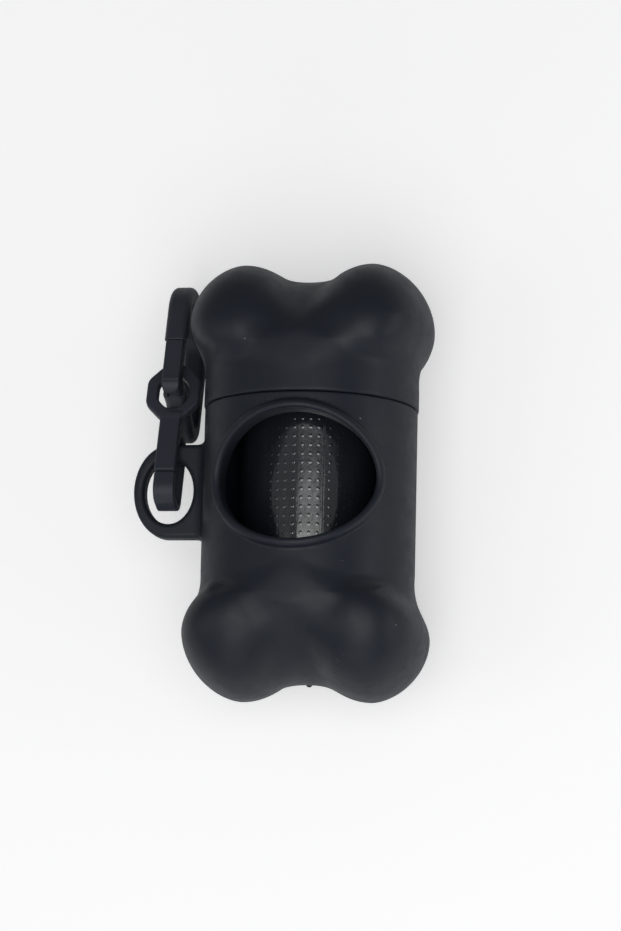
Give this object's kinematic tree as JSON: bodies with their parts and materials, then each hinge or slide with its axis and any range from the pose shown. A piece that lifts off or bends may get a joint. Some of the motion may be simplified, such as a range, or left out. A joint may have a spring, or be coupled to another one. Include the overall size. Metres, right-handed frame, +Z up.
{
  "type": "dog poop bag dispenser",
  "caption": "Bone-shaped case for a roll of dog waste bags, lying on its back, with a pull-off cap, an oval bag window, and a snap link and clip on its side ear.",
  "frame": {"origin": "on the surface the dispenser lies on, straight under the middle of the barrel's long axis", "axes": "+Y along the barrel from the fixed end to the cap, +Z up through the bag window, -X towards the clip ear"},
  "size_m": [0.0565, 0.0826, 0.0421],
  "materials": {
    "case_plastic": "soft-touch matte moulded plastic",
    "clip_plastic": "satin moulded plastic",
    "bag_film": "embossed thin film",
    "core_paper": "uncoated paper tube"
  },
  "bodies": {
    "case": {"body": "case_plastic"},
    "cap": {"cap": "case_plastic"},
    "roll": {"roll_core": "core_paper", "bag_roll": "bag_film"},
    "link": {"link": "clip_plastic"},
    "clip": {"clip_frame": "clip_plastic"},
    "gate": {"clip_gate": "clip_plastic"}
  },
  "joints": [
    {"name": "cap_slide", "type": "slide", "parent": "case", "child": "cap", "axis": [0, 1, 0], "range_m": [0, 0.03]},
    {"name": "roll_spin", "type": "hinge", "parent": "case", "child": "roll", "pos_m": [0, 0, 0.01803], "axis": [0, 1, 0], "continuous": true},
    {"name": "link_swing", "type": "hinge", "parent": "case", "child": "link", "pos_m": [-0.0268, 0.0058, 0.02053], "axis": [1, 0, 0], "range_deg": [-90, 140]},
    {"name": "clip_swing", "type": "hinge", "parent": "link", "child": "clip", "pos_m": [-0.0265, 0.01744, 0.02007], "axis": [1, 0, 0], "range_deg": [0, 30]},
    {"name": "gate_flex", "type": "hinge", "parent": "clip", "child": "gate", "pos_m": [-0.0265, 0.01861, 0.02326], "axis": [-1, 0, 0], "range_deg": [0, 15], "stiffness_Nm_per_rad": 0.03}
  ]
}
